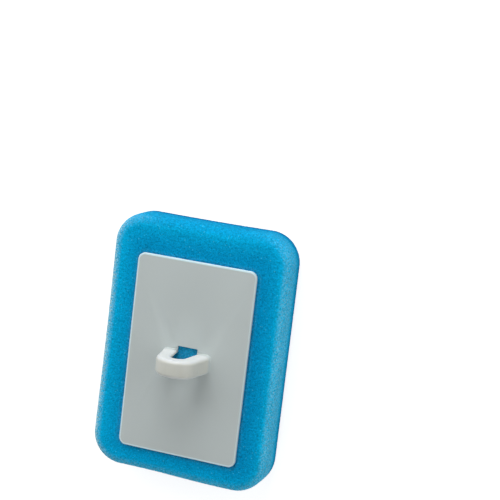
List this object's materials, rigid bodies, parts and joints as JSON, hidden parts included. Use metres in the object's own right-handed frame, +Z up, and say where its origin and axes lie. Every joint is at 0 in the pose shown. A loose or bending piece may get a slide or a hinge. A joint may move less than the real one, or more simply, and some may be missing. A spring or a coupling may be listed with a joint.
{
  "type": "toilet brush sponge head",
  "caption": "Disposable foam head for a clip-on toilet brush: a rounded sponge block with a moulded hook plate and loop on top.",
  "frame": {"origin": "centre of the foam block's flat underside, which rests on the table", "axes": "+Y along the block's length, +X across it, +Z up out of the hook plate; the loop's eye opens along Y"},
  "size_m": [0.076, 0.1072, 0.04],
  "materials": {
    "foam": "matt open-cell foam, dyed blue",
    "glue": "hot-melt film, cloudy",
    "plate": "satin moulded plastic, off-white"
  },
  "bodies": {
    "root": {"sponge_block": "foam", "glue_layer": "glue", "hook_plate": "plate"}
  },
  "joints": []
}
